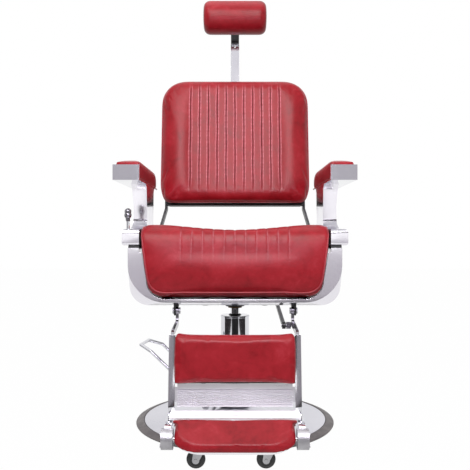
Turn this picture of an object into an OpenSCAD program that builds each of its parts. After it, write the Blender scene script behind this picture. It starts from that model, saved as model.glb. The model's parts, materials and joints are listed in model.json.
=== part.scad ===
// Hydraulic barber chair: round base, oil pump, swivelling seat, reclining back and linked footrest.
// Millimetres. The origin is on the floor on the pump's axis, +Z is up and the sitter faces -Y.
// Left and right are the sitter's: left is +X.

/* [Base and pump] */
// Diameter over the rubber floor rim
base_d = 620; // [540:5:700]
// Height of the base where the cover meets the rim
base_h = 12; // [10:1:16]
// Radial width of the rubber rim
rim_w = 26; // [18:1:34]
// Outer diameter of the pump sleeve
sleeve_d = 90; // [84:1:110]
// Height of the sleeve's top above the floor
sleeve_top = 333; // [320:1:345]
// Diameter of the piston rod
ram_d = 28; // [24:1:30]
// Reach of the pedal loop from the pump's axis
pedal_reach = 300; // [270:5:310]
// Width of the pedal loop
pedal_w = 150; // [120:5:160]
// Diameter of the pedal rod
pedal_rod_d = 11; // [8:0.5:13]

/* [Seat] */
// Width over the polished seat skirt
skirt_w = 598; // [580:2:640]
// Depth of the skirt, front to back
skirt_depth = 450; // [440:5:480]
// Height of the skirt's underside above the floor
skirt_bottom = 387; // [380:1:392]
// Height of the skirt's top edge above the floor
skirt_top = 550; // [540:1:560]
// Wall thickness of the skirt
skirt_t = 3.5; // [3:0.5:5]
// Width of the seat cushion
seat_w = 524; // [500:2:526]
// Height of the seat cushion's rolled edges above the floor
seat_top = 617; // [604:1:640]
// Depth of the hollow across the middle of the seat
seat_dip = 15; // [6:1:20]
// How far the cushion's front stands out of the skirt
seat_overhang = 29; // [20:1:36]

/* [Arms] */
// Height of the arm rail's underside above the floor
arm_h = 739; // [725:1:780]
// Width of one arm
arm_w = 74; // [66:1:80]
// Length of one arm
arm_len = 400; // [360:5:410]
// Height of the arm's front cap
arm_cap_h = 43; // [36:1:50]
// How far the pad's crown stands above the cap
arm_crown = 26; // [18:1:40]
// Side depth of the arm's column
column_d = 164; // [130:2:190]

/* [Backrest] */
// Width of the back cushion
back_w = 520; // [480:2:524]
// Length of the back cushion up the backrest
back_len = 444; // [400:2:500]
// Thickness of the back cushion
back_t = 90; // [70:1:105]
// Radius of the back cushion's upper corners
back_corner = 84; // [50:2:100]
// Backward lean of the backrest at rest
back_tilt = 9; // [5:0.5:12]
// Width of the headrest roll
head_w = 235; // [200:5:280]
// Diameter of the headrest roll
head_d = 125; // [100:1:130]
// Width of the headrest bar
bar_w = 31; // [26:1:36]

/* [Footrest] */
// Width over the two side rails
rail_over = 345; // [330:1:360]
// Width of one side rail
rail_w = 16.5; // [12:0.5:18]
// Forward lean of the calf pad, bottom out
calf_tilt = 8; // [4:0.5:11]
// Height of the calf pad
calf_len = 131; // [120:1:140]
// Thickness of the calf pad
calf_t = 29; // [22:1:34]
// Height of the ribbed kick plate
kick_len = 58; // [50:1:60]
// Number of ribs on the kick plate
kick_ribs = 8; // [5:1:11]
// Slope of the flip panel at rest
flip_slope = 50; // [40:1:60]
// Length of the flip panel down its slope
flip_len = 92; // [80:1:94]
// Diameter of a caster wheel
wheel_d = 48; // [44:1:50]

/* [Hidden] */
$fn = 72;

// Clearances
run = 0.06;      // radial clearance of a turning or sliding fit
seat_gap = 0.3;  // soft piece to its neighbour
gap = 1;         // between the cover and the rim
bolt_play = 0.3; // radial play of a bolt in its hole

// Base and pump
base_r = base_d / 2;
plate_r = base_r - rim_w;
plate_t = base_h - 2;
flange_r = 85;
flange_t = 10;
sleeve_r = sleeve_d / 2;
sleeve_t = 2;
cap_t = 6;
cylinder_r = 30;
bore_r = 22;
ram_r = ram_d / 2;
journal_r = ram_r - 3;
cylinder_top = sleeve_top - cap_t - 7;
bush_len = 24;
head_len = 24;
piston_z = plate_t + flange_t + 12;
shoulder_z = skirt_bottom - 31;
collar_h = 52;

// Pedal: it points to the right, turned a little backward
pedal_yaw = 8;
pedal_pivot_r = 80;
pedal_pivot_z = 62;
pedal_bend_r = 255;
pedal_bend_z = 222;
pedal_tip_z = 238;
shaft_r = 7;

// Seat
skirt_r = skirt_w / 2;
skirt_front = -245;
skirt_back = skirt_front + skirt_depth;
bevel = 30;
face_lift = 10;
outer_corner = 55;
face_corner = 105;
seat_r = seat_w / 2;
seat_front = skirt_front - seat_overhang;
seat_back = skirt_back - 2;
apron_z = skirt_bottom + 21;
board_t = 15;
board_z = skirt_bottom + 53;
chassis_t = 6;
chassis_z = skirt_bottom + skirt_t;
mount_t = 8;
mount_z = skirt_bottom - 10;
mount_half = [116, 80];
bolt_at = [92, 56];
bolt_r = 6;
socket_r = 30;
swivel_r = journal_r + 5;
channel_x = 195;

// Arms
gasket_t = 7;
foot_h = 46;
foot_in = seat_r + 6;
foot_out = skirt_r + 17;
foot_z = skirt_top + gasket_t;
foot_back = 100;
column_in = foot_in;
column_t = 42;
column_front = -89;
rail_t = 4;
arm_front = -253;
arm_in = max(foot_in - 2, back_w / 2 + 5);
lever_x = -(foot_out - 12);
lever_y = -212;
lever_z = foot_z + 18;
lever_r = 5;

// Backrest frame: u is +X, v is backward and w is up the back, from the pivot
back_pivot = [240, skirt_bottom + 28];
back_shaft_r = 9;
back_w0 = 270;
shell_t = 25;
shell_v = -18;
cushion_v = shell_v - shell_t - back_t;
hinge_x = [264, 272];
lug_x = [273.5, 281.5];
crank_x = [148, 155.5];
crank = [19, -45];
bar_t = 6;
bar_v = -15;
guide_w = back_w0 + back_len - 108;
guide_h = 70;
head_c = [-80, back_w0 + back_len + 253];
bar_top = head_c[1] - head_d / 2 - 8;
bar_bottom = back_w0 + back_len - 169;

// Footrest: forward distances are measured along -Y
foot_pivot = [200, skirt_bottom - 17];
foot_eye_r = 11.5;
foot_pin_r = 6;
foot_lug_t = 5;
rail_out = rail_over / 2;
rail_in = rail_out - rail_w;
rail_half = 10;
hanger_x = [rail_in + 4.5, rail_in + 12.5];
calf_top = [345, 330];
board_n = [-9, 11];
pad_half = rail_in + 2;
flip_pivot = [486, 95];
block_r = 25;
trunnion_r = 5;
flip_half = rail_in - 8.5;
flip_wide = rail_in - 0.6;
tread_m = [-4.5, 6.3];
flip_pad_t = 18;
step_z = 127.3;
step_t = 9;
caster_at = [88, 420];
caster_trail = 10;
wheel_r = wheel_d / 2;
wheel_w = 18;
stem_r = 5;
socket_bottom = 66;
axle_r = 4;

// ---- shared shapes ----

// Extrudes a drawing of (forward, up) points across the chair, from x0 to x1
module across(x0, x1) {
    translate([x0, 0, 0]) rotate([90, 0, 90]) linear_extrude(x1 - x0) mirror([1, 0]) children();
}

// The same for (backward, up) points
module across_back(x0, x1) {
    translate([x0, 0, 0]) rotate([90, 0, 90]) linear_extrude(x1 - x0) children();
}

// Extrudes a front-view drawing of (x, up) points from y0 back to y1
module along(y0, y1) {
    translate([0, y1, 0]) rotate([90, 0, 0]) linear_extrude(y1 - y0) children();
}

module both() {
    children();
    mirror([1, 0, 0]) children();
}

// A rounded rectangle from corner a to corner b
module round_rect(a, b, r) {
    translate([a[0] + r, a[1]]) square([b[0] - a[0] - 2 * r, b[1] - a[1]]);
    translate([a[0], a[1] + r]) square([b[0] - a[0], b[1] - a[1] - 2 * r]);
    for (x = [a[0] + r, b[0] - r], y = [a[1] + r, b[1] - r]) translate([x, y]) circle(r);
}

function unit(v) = v / norm(v);

// Points of a smooth bend at b, starting d before it and ending d after it
function bend(a, b, c, d, n = 6) = [for (i = [0 : n]) let (t = i / n)
    b + pow(1 - t, 2) * d * unit(a - b) + pow(t, 2) * d * unit(c - b)];

// Flat bar of width w drawn along a list of points
module ribbon(points, w) {
    last = len(points) - 1;
    side = [for (i = [0 : last]) let (d = unit(points[min(i + 1, last)] - points[max(i - 1, 0)]))
        w / 2 * [-d[1], d[0]]];
    polygon(concat(points + side, [for (i = [last : -1 : 0]) points[i] - side[i]]));
}

function arc(c, r, a0, a1, n = 10) =
    [for (i = [0 : n]) let (a = a0 + (a1 - a0) * i / n) c + r * [cos(a), sin(a)]];

// Rod of radius r from a to b
module rod(a, b, r) {
    d = b - a;
    translate(a) rotate([0, atan2(norm([d[0], d[1]]), d[2]), atan2(d[1], d[0])]) cylinder(h = norm(d), r = r);
}

// ---- base ----

module base_plate() {
    color("dimgray") difference() {
        cylinder(h = plate_t, r = plate_r - gap / 2, $fn = 120);
        for (a = [45 : 90 : 315]) rotate(a) translate([flange_r - 14, 0, -1]) cylinder(h = plate_t + 2, r = 5);
    }
}

module base_cover() {
    edge = plate_r - gap / 2;
    t = 1.5;
    line = [[edge, base_h - t], [edge - 30, base_h + 1], [150, 20],
        [105, 27], [84, 35], [66, 43], [sleeve_r + 6, 48]];
    top = concat([for (p = line) p + [0, t]], [[sleeve_r + 3.5, collar_h]]);
    under = [for (i = [len(line) - 1 : -1 : 1]) line[i]];
    color("gainsboro") rotate_extrude($fn = 120) polygon(concat([[edge, plate_t]], top,
        [[sleeve_r + 0.5, collar_h], [sleeve_r + 0.5, 47]], under, [[edge - 8, plate_t]]));
}

module base_rim() {
    color([0.22, 0.2, 0.21]) rotate_extrude($fn = 120) polygon(concat(
        [[plate_r, 0], [base_r - 2, 0]], arc([base_r - 3, 3], 3, 0, 70, 5),
        [[plate_r + 6, base_h + 0.5]], arc([plate_r + 4, base_h - 0.5], 2, 70, 150, 4), [[plate_r, base_h - 2]]));
}

module pump_sleeve() {
    color("silver") translate([0, 0, plate_t + flange_t]) difference() {
        cylinder(h = sleeve_top - cap_t - plate_t - flange_t, r = sleeve_r);
        translate([0, 0, -1]) cylinder(h = sleeve_top, r = sleeve_r - sleeve_t);
    }
}

module sleeve_cap() {
    z = sleeve_top - cap_t;
    color("gainsboro") rotate_extrude() polygon(concat(
        [[20, cylinder_top], [sleeve_r - sleeve_t - 0.2, cylinder_top],
        [sleeve_r - sleeve_t - 0.2, z], [sleeve_r + 0.8, z]],
        arc([sleeve_r - 1.2, sleeve_top - 2], 2, 0, 90, 6), [[20, sleeve_top]]));
}

module pump_cylinder() {
    color("gray") difference() {
        translate([0, 0, plate_t]) union() {
            cylinder(h = flange_t, r = flange_r);
            cylinder(h = cylinder_top - plate_t, r = cylinder_r);
        }
        translate([0, 0, piston_z - 4]) cylinder(h = cylinder_top, r = bore_r);
        for (a = [45 : 90 : 315]) rotate(a) translate([flange_r - 14, 0, 0]) cylinder(h = 40, r = 5);
    }
}

module rod_wiper() {
    z = sleeve_top - cap_t;
    color([0.1, 0.1, 0.1]) rotate_extrude() polygon([[ram_r + run, z], [19.9, z], [19.9, sleeve_top + 1],
        [ram_r + 1.5, sleeve_top + 4], [ram_r + run, sleeve_top + 4]]);
}

module guide_bush() {
    color("peru") translate([0, 0, cylinder_top - bush_len]) difference() {
        cylinder(h = bush_len, r = bore_r - 0.02);
        translate([0, 0, -1]) cylinder(h = bush_len + 2, r = ram_r + run);
    }
}

module base_bolts() {
    color("slategray") for (a = [45 : 90 : 315]) rotate(a) translate([flange_r - 14, 0, 1]) {
        cylinder(h = plate_t + flange_t - 1, r = 4.8);
        translate([0, 0, plate_t + flange_t - 1]) cylinder(h = 5, r = 8, $fn = 6);
    }
}

// ---- pedal ----

module pedal_frame() {
    rotate(180 - pedal_yaw) children();
}

// Clamp ring round the sleeve with two arms that hold the pedal's shaft
module pedal_bracket() {
    ring_r = sleeve_r + 9;
    z = pedal_pivot_z - 9;
    arm_y = sleeve_r - 8;
    color("dimgray") pedal_frame() difference() {
        union() {
            translate([0, 0, z]) cylinder(h = 22, r = ring_r);
            for (y = [-arm_y - 10, arm_y]) translate([0, y + 10, 0]) rotate([90, 0, 0]) linear_extrude(10) {
                translate([20, z]) square([pedal_pivot_r - 20, 20]);
                translate([pedal_pivot_r, pedal_pivot_z]) circle(13);
            }
        }
        translate([0, 0, z - 1]) cylinder(h = 24, r = sleeve_r);
        translate([pedal_pivot_r, sleeve_d, pedal_pivot_z]) rotate([90, 0, 0])
            cylinder(h = 2 * sleeve_d, r = shaft_r + run);
    }
}

module pedal_shaft() {
    len = pedal_w / 2 - 2;
    color("gray") pedal_frame() translate([pedal_pivot_r, len, pedal_pivot_z]) rotate([90, 0, 0])
        cylinder(h = 2 * len, r = shaft_r);
}

module pump_pedal() {
    r = pedal_rod_d / 2;
    y = pedal_w / 2 - r;
    hub = [pedal_pivot_r, y, pedal_pivot_z];
    bend = [pedal_bend_r, y, pedal_bend_z];
    tip = [pedal_reach - r, y - 24, pedal_tip_z];
    color("silver") pedal_frame() difference() {
        union() {
            for (s = [1, -1]) {
                k = [1, s, 1];
                pieces = [for (p = [hub, bend, tip]) [p[0] * k[0], p[1] * k[1], p[2] * k[2]]];
                rod(pieces[0], pieces[1], r);
                rod(pieces[1], pieces[2], r);
                translate(pieces[1]) sphere(r + 0.15);
                translate(pieces[2]) sphere(r + 0.15);
                translate([hub[0], s * y + 8, hub[2]]) rotate([90, 0, 0]) cylinder(h = 16, r = 13);
            }
            rod([tip[0], -tip[1], tip[2]], tip, r);
        }
        translate([hub[0], pedal_w, hub[2]]) rotate([90, 0, 0]) cylinder(h = 2 * pedal_w, r = shaft_r + 0.02);
    }
}

// ---- ram ----

module ram() {
    color("silver") {
        translate([0, 0, piston_z + head_len]) cylinder(h = shoulder_z - piston_z - head_len, r = ram_r);
        translate([0, 0, shoulder_z]) cylinder(h = skirt_bottom + 20 - shoulder_z, r = journal_r);
    }
}

module piston_head() {
    color("slategray") translate([0, 0, piston_z]) rotate_extrude() polygon([[0, 0], [bore_r - 1, 0],
        [bore_r - run, 1], [bore_r - run, 9], [bore_r - 4, 9], [bore_r - 4, 15], [bore_r - run, 15],
        [bore_r - run, head_len], [0, head_len]]);
}

module piston_seal() {
    color("black") translate([0, 0, piston_z + 9.05]) difference() {
        cylinder(h = 5.9, r = bore_r - run);
        translate([0, 0, -1]) cylinder(h = 8, r = bore_r - 3.9);
    }
}

// ---- seat ----

module swivel_bush() {
    z = shoulder_z + 0.2;
    color("peru") rotate_extrude() polygon([[journal_r + run, z], [socket_r - 8, z], [socket_r - 8, z + 5],
        [swivel_r, z + 5], [swivel_r, skirt_bottom + 19], [journal_r + run, skirt_bottom + 19]]);
}

module seat_mount() {
    top = skirt_bottom + 29;
    z = shoulder_z + 5.3;
    color([0.15, 0.15, 0.16]) difference() {
        union() {
            translate([-mount_half[0], -mount_half[1], mount_z]) linear_extrude(mount_t)
                round_rect([0, 0], 2 * mount_half, 14);
            translate([0, 0, z]) cylinder(h = top - z, r = socket_r);
            for (x = [-1, 1], y = [-1, 1]) translate([x * bolt_at[0], y * bolt_at[1], mount_z])
                cylinder(h = skirt_bottom - mount_z, r = 12);
        }
        translate([0, 0, z - 1]) cylinder(h = skirt_bottom + 21 - z, r = swivel_r + 0.02);
        for (x = [-1, 1], y = [-1, 1]) translate([x * bolt_at[0], y * bolt_at[1], 0])
            cylinder(h = 500, r = bolt_r + bolt_play);
    }
}

module mount_bolts() {
    color("slategray") for (x = [-1, 1], y = [-1, 1]) translate([x * bolt_at[0], y * bolt_at[1], 0]) {
        translate([0, 0, mount_z - 8]) cylinder(h = 8, r = 10, $fn = 6);
        translate([0, 0, mount_z]) cylinder(h = chassis_z + chassis_t - mount_z + 12, r = bolt_r);
        translate([0, 0, chassis_z + chassis_t]) cylinder(h = 10, r = 10, $fn = 6);
    }
}

// Front-view outline of the skirt: open at the top, round at the lower corners
module u_outline(half, z0, r, z1) {
    polygon(concat([[half, z1], [-half, z1]], arc([-half + r, z0 + r], r, 180, 270, 12),
        arc([half - r, z0 + r], r, 270, 360, 12)));
}

// Solid body of the skirt shrunk by wall t: square behind, rounder at its front face
module skirt_body(t, y0, y1) {
    hull() {
        along(max(y0, skirt_front), max(y0, skirt_front) + 0.5)
            u_outline(skirt_r - t, skirt_bottom + face_lift + t, face_corner - t, skirt_top);
        along(skirt_front + bevel, skirt_front + bevel + 0.5)
            u_outline(skirt_r - t, skirt_bottom + t, outer_corner - t, skirt_top);
    }
    along(skirt_front + bevel, y1) u_outline(skirt_r - t, skirt_bottom + t, outer_corner - t, skirt_top);
}

// Front outline of the seat cushion, spread outward by g
module seat_outline(g) {
    dip_n = 12;
    low_r = seat_r - 15;
    r = 52;
    q = 16;
    top = [for (i = [0 : 2 * dip_n]) let (x = i / dip_n - 1)
        [x * (seat_r - q), seat_top - seat_dip * pow(cos(90 * x), 2) + g]];
    side = concat(
        [for (a = [18 : 18 : 90]) [-(seat_r - q) - (q + g) * sin(a), seat_top - q + (q + g) * cos(a)]],
        [[-seat_r - g, seat_top - 62]],
        [for (a = [0 : 10 : 90]) [-(low_r - r) - (r + g) * cos(a), apron_z + r - (r + g) * sin(a)]]);
    polygon(concat(top, [for (p = side) [-p[0], p[1]]], [for (i = [len(side) - 1 : -1 : 0]) side[i]]));
}

module seat_skirt() {
    flange_in = foot_in;
    inner_top = skirt_top - skirt_t;
    color("silver") difference() {
        skirt_body(0, skirt_front, skirt_back);
        difference() {
            skirt_body(skirt_t, skirt_front + skirt_t, skirt_back + 1);
            both() translate([flange_in, skirt_front, inner_top]) cube([60, foot_back - skirt_front, 20]);
        }
        along(skirt_front - 1, skirt_front + skirt_t + 1) seat_outline(1);
        translate([-flange_in, skirt_front - 1, seat_top - 80]) cube([2 * flange_in, 2 * bevel, 100]);
        translate([0, 0, skirt_bottom - 1]) cylinder(h = 12, r = socket_r + 1);
        for (x = [-1, 1], y = [-1, 1]) translate([x * bolt_at[0], y * bolt_at[1], skirt_bottom - 1])
            cylinder(h = 12, r = bolt_r + bolt_play);
    }
}

module chassis_plate() {
    half = skirt_r - outer_corner - 2;
    front = skirt_front + bevel + 5;
    back = skirt_back - 10;
    rise = board_z - chassis_z - chassis_t;
    color([0.15, 0.15, 0.16]) difference() {
        translate([0, 0, chassis_z]) union() {
            translate([-half, front, 0]) cube([2 * half, back - front, chassis_t]);
            for (x = [-1, 1]) translate([x * channel_x - 15, front + 20, chassis_t]) difference() {
                cube([30, back - front - 20, rise]);
                translate([3, -1, 3]) cube([24, skirt_depth, rise - 6]);
            }
        }
        translate([0, 0, chassis_z - 1]) cylinder(h = 12, r = socket_r + 1);
        for (x = [-1, 1], y = [-1, 1]) translate([x * bolt_at[0], y * bolt_at[1], chassis_z - 1])
            cylinder(h = 12, r = bolt_r + bolt_play);
    }
}

module seat_board() {
    half = seat_r - 14;
    color("burlywood") translate([-half, skirt_front + 22, board_z]) linear_extrude(board_t)
        round_rect([0, 0], [2 * half, seat_back - 2 - skirt_front - 22], 20);
}

module seat_cushion() {
    base_z = board_z + board_t + seat_gap;
    inner = skirt_front + 20;
    nose = 58;
    top = seat_top;
    color("firebrick") intersection() {
        across_back(-seat_r, seat_r) polygon(concat(
            arc([seat_back - 30, top - 38], 30, 0, 80),
            arc([seat_front + nose + 8, top - nose], nose, 90, 180),
            [[seat_front, apron_z + 62]], arc([seat_front + 34, apron_z + 22], 22, 190, 270),
            [[inner, apron_z], [inner, base_z], [seat_back, base_z]]));
        along(seat_front - 1, seat_back + 1) seat_outline(0);
    }
}

module arm_gaskets() {
    color([0.08, 0.08, 0.08]) both() translate([foot_in, skirt_front + 2, skirt_top])
        cube([skirt_r - 1 - foot_in, foot_back - skirt_front - 2, gasket_t]);
}

// ---- arms ----

// Side view of an arm casting: long foot, waisted column, flared head
module arm_side() {
    z0 = foot_z;
    z1 = foot_z + foot_h;
    head_z = arm_h;
    f = column_front;
    b = column_front + column_d;
    fillet = 34;
    polygon(concat(
        [[skirt_front + 8, z0], [foot_back, z0]],
        arc([foot_back - 14, z1 - 14], 14, 0, 90, 6),
        arc([b - 8 + fillet, z1 + fillet], fillet, 270, 180, 8),
        [[b, head_z - 14], [b + 14, head_z], [f - 14, head_z], [f, head_z - 14]],
        arc([f + 8 - fillet, z1 + fillet], fillet, 0, -90, 8),
        arc([skirt_front + 14, z1 - 14], 14, 90, 180, 6),
        arc([skirt_front + 8, z0 + 8], 8, 180, 270, 4)));
}

module arm_casting() {
    z1 = foot_z + foot_h;
    color("whitesmoke") intersection() {
        across_back(foot_in, foot_out) arm_side();
        union() {
            along(skirt_front - 10, foot_back + 10) polygon(concat(
                [[column_in, arm_h], [column_in, foot_z], [foot_out - 4, foot_z]],
                arc([foot_out - 6, foot_z + 6], 6, 290, 360, 4),
                [[foot_out, z1 - 7]], arc([foot_out - 7, z1 - 7], 7, 0, 80, 5),
                [[column_in + column_t + 4, z1 + 3], [column_in + column_t, z1 + 16],
                [column_in + column_t - 2, (z1 + arm_h) / 2], [column_in + column_t + 3, arm_h]]));
        }
    }
}

module arm_casting_left() {
    arm_casting();
}

module arm_casting_right() {
    color("whitesmoke") difference() {
        mirror([1, 0, 0]) arm_casting();
        translate([lever_x - 7, lever_y - 11, foot_z + 5]) cube([14, 44, foot_h]);
        translate([lever_x - 30, lever_y, lever_z]) rotate([0, 90, 0]) cylinder(h = 46, r = 4 + run);
    }
}

module arm_rail() {
    x0 = arm_in;
    lip = 9;
    color("silver") {
        translate([x0, arm_front, arm_h]) {
            linear_extrude(rail_t) round_rect([0, 0], [arm_w, arm_len], 2);
            cube([arm_w, 12, arm_cap_h]);
            translate([arm_w - 3, 6, 0]) cube([3, arm_len - 20, rail_t + lip]);
        }
    }
}

module arm_rail_left() {
    arm_rail();
}

module arm_rail_right() {
    mirror([1, 0, 0]) arm_rail();
}

// Crowned loaf: its long crown and its rounded section cross
module arm_pad() {
    y0 = arm_front + 12 + seat_gap;
    y1 = arm_front + arm_len - 1;
    z0 = arm_h + rail_t + seat_gap;
    crown = arm_h + arm_cap_h + arm_crown - z0;
    half = (arm_w - 4) / 2;
    n = 16;
    side = [for (i = [0 : n]) let (t = i / n)
        [y0 + (y1 - y0) * t, z0 + crown * (t < 0.4 ? 0.76 + 0.24 * sin(90 * t / 0.4)
            : (t < 0.99 ? 0.5 + 0.5 * sqrt(1 - pow((t - 0.4) / 0.6, 5)) : 0.5))]];
    color("firebrick") intersection() {
        across_back(arm_in - 1, arm_in + arm_w + 1) polygon(concat([[y0, z0]], side, [[y1, z0]]));
        translate([arm_in + 0.3 + half, 0, 0]) along(y0 - 1, y1 + 1) polygon(concat(
            [[half, z0], [half, z0 + 30]], [for (a = [10 : 10 : 170])
                [half * pow(abs(cos(a)), 0.7) * sign(cos(a)), z0 + 30 + (crown - 30) * pow(sin(a), 0.8)]],
            [[-half, z0 + 30], [-half, z0]]));
    }
}

module arm_pad_left() {
    arm_pad();
}

module arm_pad_right() {
    mirror([1, 0, 0]) arm_pad();
}

// ---- backrest pivot and footrest pivot on the seat ----

module back_lugs() {
    z0 = chassis_z + chassis_t + 12;
    y0 = skirt_back - 80;
    color([0.15, 0.15, 0.16]) both() {
        across_back(lug_x[0], lug_x[1]) difference() {
            union() {
                polygon([[y0, z0], [skirt_back + 2, z0], back_pivot + [0, -16],
                    back_pivot + [0, 16], [y0 + 30, z0 + 34], [y0, z0 + 18]]);
                translate(back_pivot) circle(16);
            }
            translate(back_pivot) circle(back_shaft_r + run);
        }
        translate([channel_x + 15, y0, z0]) cube([lug_x[0] - channel_x - 15, 60, 5]);
    }
}

// One lug outside each hanger
module foot_lugs() {
    x = hanger_x[1] + 0.5;
    color([0.15, 0.15, 0.16]) both() {
        across(x, x + foot_lug_t) difference() {
            union() {
                translate([foot_pivot[0] - 14, foot_pivot[1]]) square([28, skirt_bottom - foot_pivot[1]]);
                translate(foot_pivot) circle(14);
            }
            translate(foot_pivot) circle(foot_pin_r + 0.02);
        }
        translate([hanger_x[0], -foot_pivot[0] - 14, skirt_bottom - 4.5])
            cube([x + foot_lug_t - hanger_x[0], 28, 4.5]);
    }
}

// Shouldered pins, headed on both ends
module foot_pins() {
    x0 = hanger_x[0] - 0.5;
    x1 = hanger_x[1] + 0.5 + foot_lug_t;
    color("gray") both() {
        across(x0 - 4, x1 + 4) translate(foot_pivot) circle(foot_pin_r);
        across(x0 - 4, x0) translate(foot_pivot) circle(foot_pin_r + 3);
        across(x1, x1 + 4) translate(foot_pivot) circle(foot_pin_r + 3);
    }
}

// ---- backrest ----

// Puts a shape drawn in (x, v, w) into place on the leaning backrest
module on_back() {
    translate([0, back_pivot[0], back_pivot[1]]) rotate([-back_tilt, 0, 0]) children();
}

module back_shaft() {
    color("gray") translate([0, back_pivot[0], back_pivot[1]]) {
        translate([-(lug_x[1] + 4), 0, 0]) rotate([0, 90, 0])
            cylinder(h = 2 * (lug_x[1] + 4), r = back_shaft_r);
        rotate([90, 0, 90]) translate([0, 0, crank_x[0]]) {
            linear_extrude(crank_x[1] - crank_x[0]) ribbon([[0, 0], crank], 18);
            cylinder(h = crank_x[1] - crank_x[0], r = back_shaft_r + 6);
            translate(crank) cylinder(h = crank_x[1] - crank_x[0], r = 11);
        }
        translate([crank_x[0] - 14, crank[0], crank[1]]) rotate([0, 90, 0]) cylinder(h = 15, r = 5);
    }
}

// Front view of the left hinge arm: up from its eye, then bent inward to the shell
module hinge_arm() {
    t = hinge_x[1] - hinge_x[0];
    inset = 20;
    low = 196;
    high = 268;
    foot = back_w0 + 150;
    color([0.1, 0.1, 0.1]) on_back() difference() {
        union() {
            along(-17, 17) polygon([[hinge_x[0], 0], [hinge_x[1], 0], [hinge_x[1], low],
                [hinge_x[1] - inset, high], [hinge_x[1] - inset, foot], [hinge_x[0] - inset, foot],
                [hinge_x[0] - inset, high], [hinge_x[0], low]]);
            translate([hinge_x[0], 0, 0]) rotate([0, 90, 0]) cylinder(h = t, r = 17);
            along(-18, -12) translate([hinge_x[0] - inset - 34, back_w0 + 6]) square([40, 130]);
        }
        translate([hinge_x[0] - 1, 0, 0]) rotate([0, 90, 0]) cylinder(h = t + 2, r = back_shaft_r + 0.02);
    }
}

module hinge_arm_left() {
    hinge_arm();
}

module hinge_arm_right() {
    mirror([1, 0, 0]) hinge_arm();
}

// Front outline of the backrest drawn in by g: wide upper corners, sides that draw in at the foot
module back_outline(g) {
    half = back_w / 2 - g;
    low = back_w0 + g;
    top = back_w0 + back_len - g;
    r = back_corner - g;
    q = max(20 - g, 3);
    foot = half - 9;
    polygon(concat([[half, low + 50]],
        arc([half - r, top - r], r, 0, 90, 14), arc([-half + r, top - r], r, 90, 180, 14),
        [[-half, low + 50]], arc([-foot + q, low + q], q, 190, 270, 5),
        arc([foot - q, low + q], q, 270, 350, 5)));
}

module back_shell() {
    color([0.1, 0.1, 0.1]) on_back() along(shell_v - shell_t, shell_v) translate([0, -3]) back_outline(6);
}

// Plain back cushion: a stack of outlines whose front edge rolls over
module back_cushion() {
    r = 34;
    color("firebrick") on_back() hull() {
        for (a = [0 : 18 : 90]) let (v = cushion_v + r * (1 - sin(a)))
            along(v, v + 1) back_outline(r * (1 - cos(a)));
        along(shell_v - shell_t - seat_gap - 1, shell_v - shell_t - seat_gap) back_outline(0);
    }
}

module headrest_guide() {
    half = bar_w / 2 + 14;
    slot = 0.1;
    color([0.12, 0.12, 0.12]) on_back() difference() {
        translate([-half, shell_v, guide_w]) cube([2 * half, 20, guide_h]);
        translate([-bar_w / 2 - slot, bar_v - slot, guide_w - 1])
            cube([bar_w + 2 * slot, bar_t + 2 * slot, guide_h + 2]);
        translate([0, 30, guide_w + guide_h / 2]) rotate([90, 0, 0])
            cylinder(h = 30 - bar_v - bar_t - slot, r = 4 + run);
    }
}

module headrest_knob() {
    color([0.08, 0.08, 0.08]) on_back() translate([0, 0, guide_w + guide_h / 2]) rotate([-90, 0, 0]) {
        translate([0, 0, bar_v + bar_t + 0.3]) cylinder(h = 12, r = 4);
        translate([0, 0, 2.5]) difference() {
            cylinder(h = 18, r = 19);
            for (a = [0 : 60 : 300]) rotate(a) translate([25, 0, -1]) cylinder(h = 20, r = 9);
        }
    }
}

module headrest_bar() {
    color("silver") on_back() difference() {
        along(bar_v, bar_v + bar_t) round_rect([-bar_w / 2, bar_bottom], [bar_w / 2, bar_top], 3);
        for (z = [bar_bottom + 14, bar_top - 12]) translate([0, 0, z]) rotate([90, 0, 0])
            cylinder(h = 60, r = 3, center = true);
    }
}

module headrest_bracket() {
    half = bar_w / 2 - 0.5;
    z0 = bar_top;
    color([0.08, 0.08, 0.08]) on_back() across_back(-half, half) polygon([
        [bar_v - 5, z0 - 8], [bar_v - 0.1, z0 - 8],
        [bar_v - 0.1, z0 + 0.1], [bar_v + bar_t, z0 + 0.1], [bar_v + bar_t, z0 + 7], [head_c[0] - 26, z0 + 7],
        [head_c[0] - 26, z0 + 2], [bar_v - 5, z0 + 2]]);
}

module headrest_cushion() {
    half = head_w / 2;
    r = head_d / 2;
    end = 26;
    flat_z = bar_top + 7 + seat_gap;
    profile = concat([[0, -half]], arc([r - end, -half + end], end, 270, 360, 8),
        arc([r - end, half - end], end, 0, 90, 8), [[0, half]]);
    color("firebrick") on_back() difference() {
        translate([0, head_c[0], head_c[1]]) rotate([0, 90, 0]) rotate_extrude() polygon(profile);
        translate([-half - 1, head_c[0] - r, flat_z - 40]) cube([2 * half + 2, 2 * r, 40]);
    }
}

// ---- recline lever ----

module lever_stem() {
    top = foot_z + foot_h + 22;
    color("silver") translate([lever_x, lever_y, 0]) {
        translate([0, 0, lever_z]) cylinder(h = top - lever_z, r = lever_r);
        translate([-5.5, 0, lever_z]) rotate([0, 90, 0]) cylinder(h = 11, r = 9);
        translate([-11, 0, lever_z]) rotate([0, 90, 0]) cylinder(h = 24, r = 4);
    }
}

module lever_knob() {
    z0 = foot_z + foot_h + 22;
    color([0.25, 0.25, 0.26]) translate([lever_x, lever_y, z0]) rotate_extrude() polygon(concat(
        [[0, 0], [6, 0]], arc([0, 17], 10.5, -50, 30, 8), arc([0, 27], 10, 10, 90, 8)));
}

// ---- footrest ----

// Puts a shape drawn in (forward n, down s) onto the leaning calf plane
module on_calf() {
    translate(calf_top) rotate(calf_tilt) mirror([0, 1]) children();
}

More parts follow.
